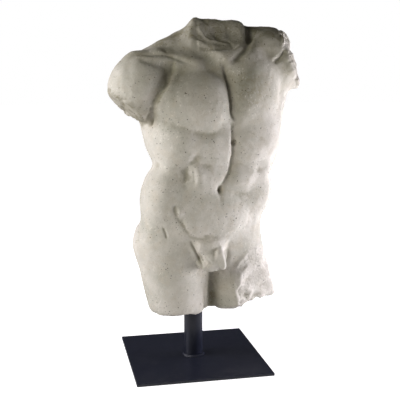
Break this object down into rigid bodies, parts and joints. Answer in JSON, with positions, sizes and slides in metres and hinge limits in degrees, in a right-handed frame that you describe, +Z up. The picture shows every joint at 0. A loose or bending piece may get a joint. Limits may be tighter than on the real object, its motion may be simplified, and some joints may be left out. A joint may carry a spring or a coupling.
{
  "type": "stone torso sculpture on stand",
  "caption": "Weathered stone male torso, broken at the neck, arms and thighs, carried by a round steel post on a square black steel plate.",
  "frame": {"origin": "centre of the plate's underside, on the post's axis", "axes": "+Z up along the post, -Y out of the front edge of the plate, +X to the figure's own left"},
  "size_m": [0.4578, 0.3, 0.7681],
  "materials": {
    "stone": "weathered, fine pits, matt",
    "black_paint": "black satin paint on steel"
  },
  "bodies": {
    "root": {"torso": "stone", "post": "black_paint", "base_plate": "black_paint", "foot_weld": "black_paint"}
  },
  "joints": []
}
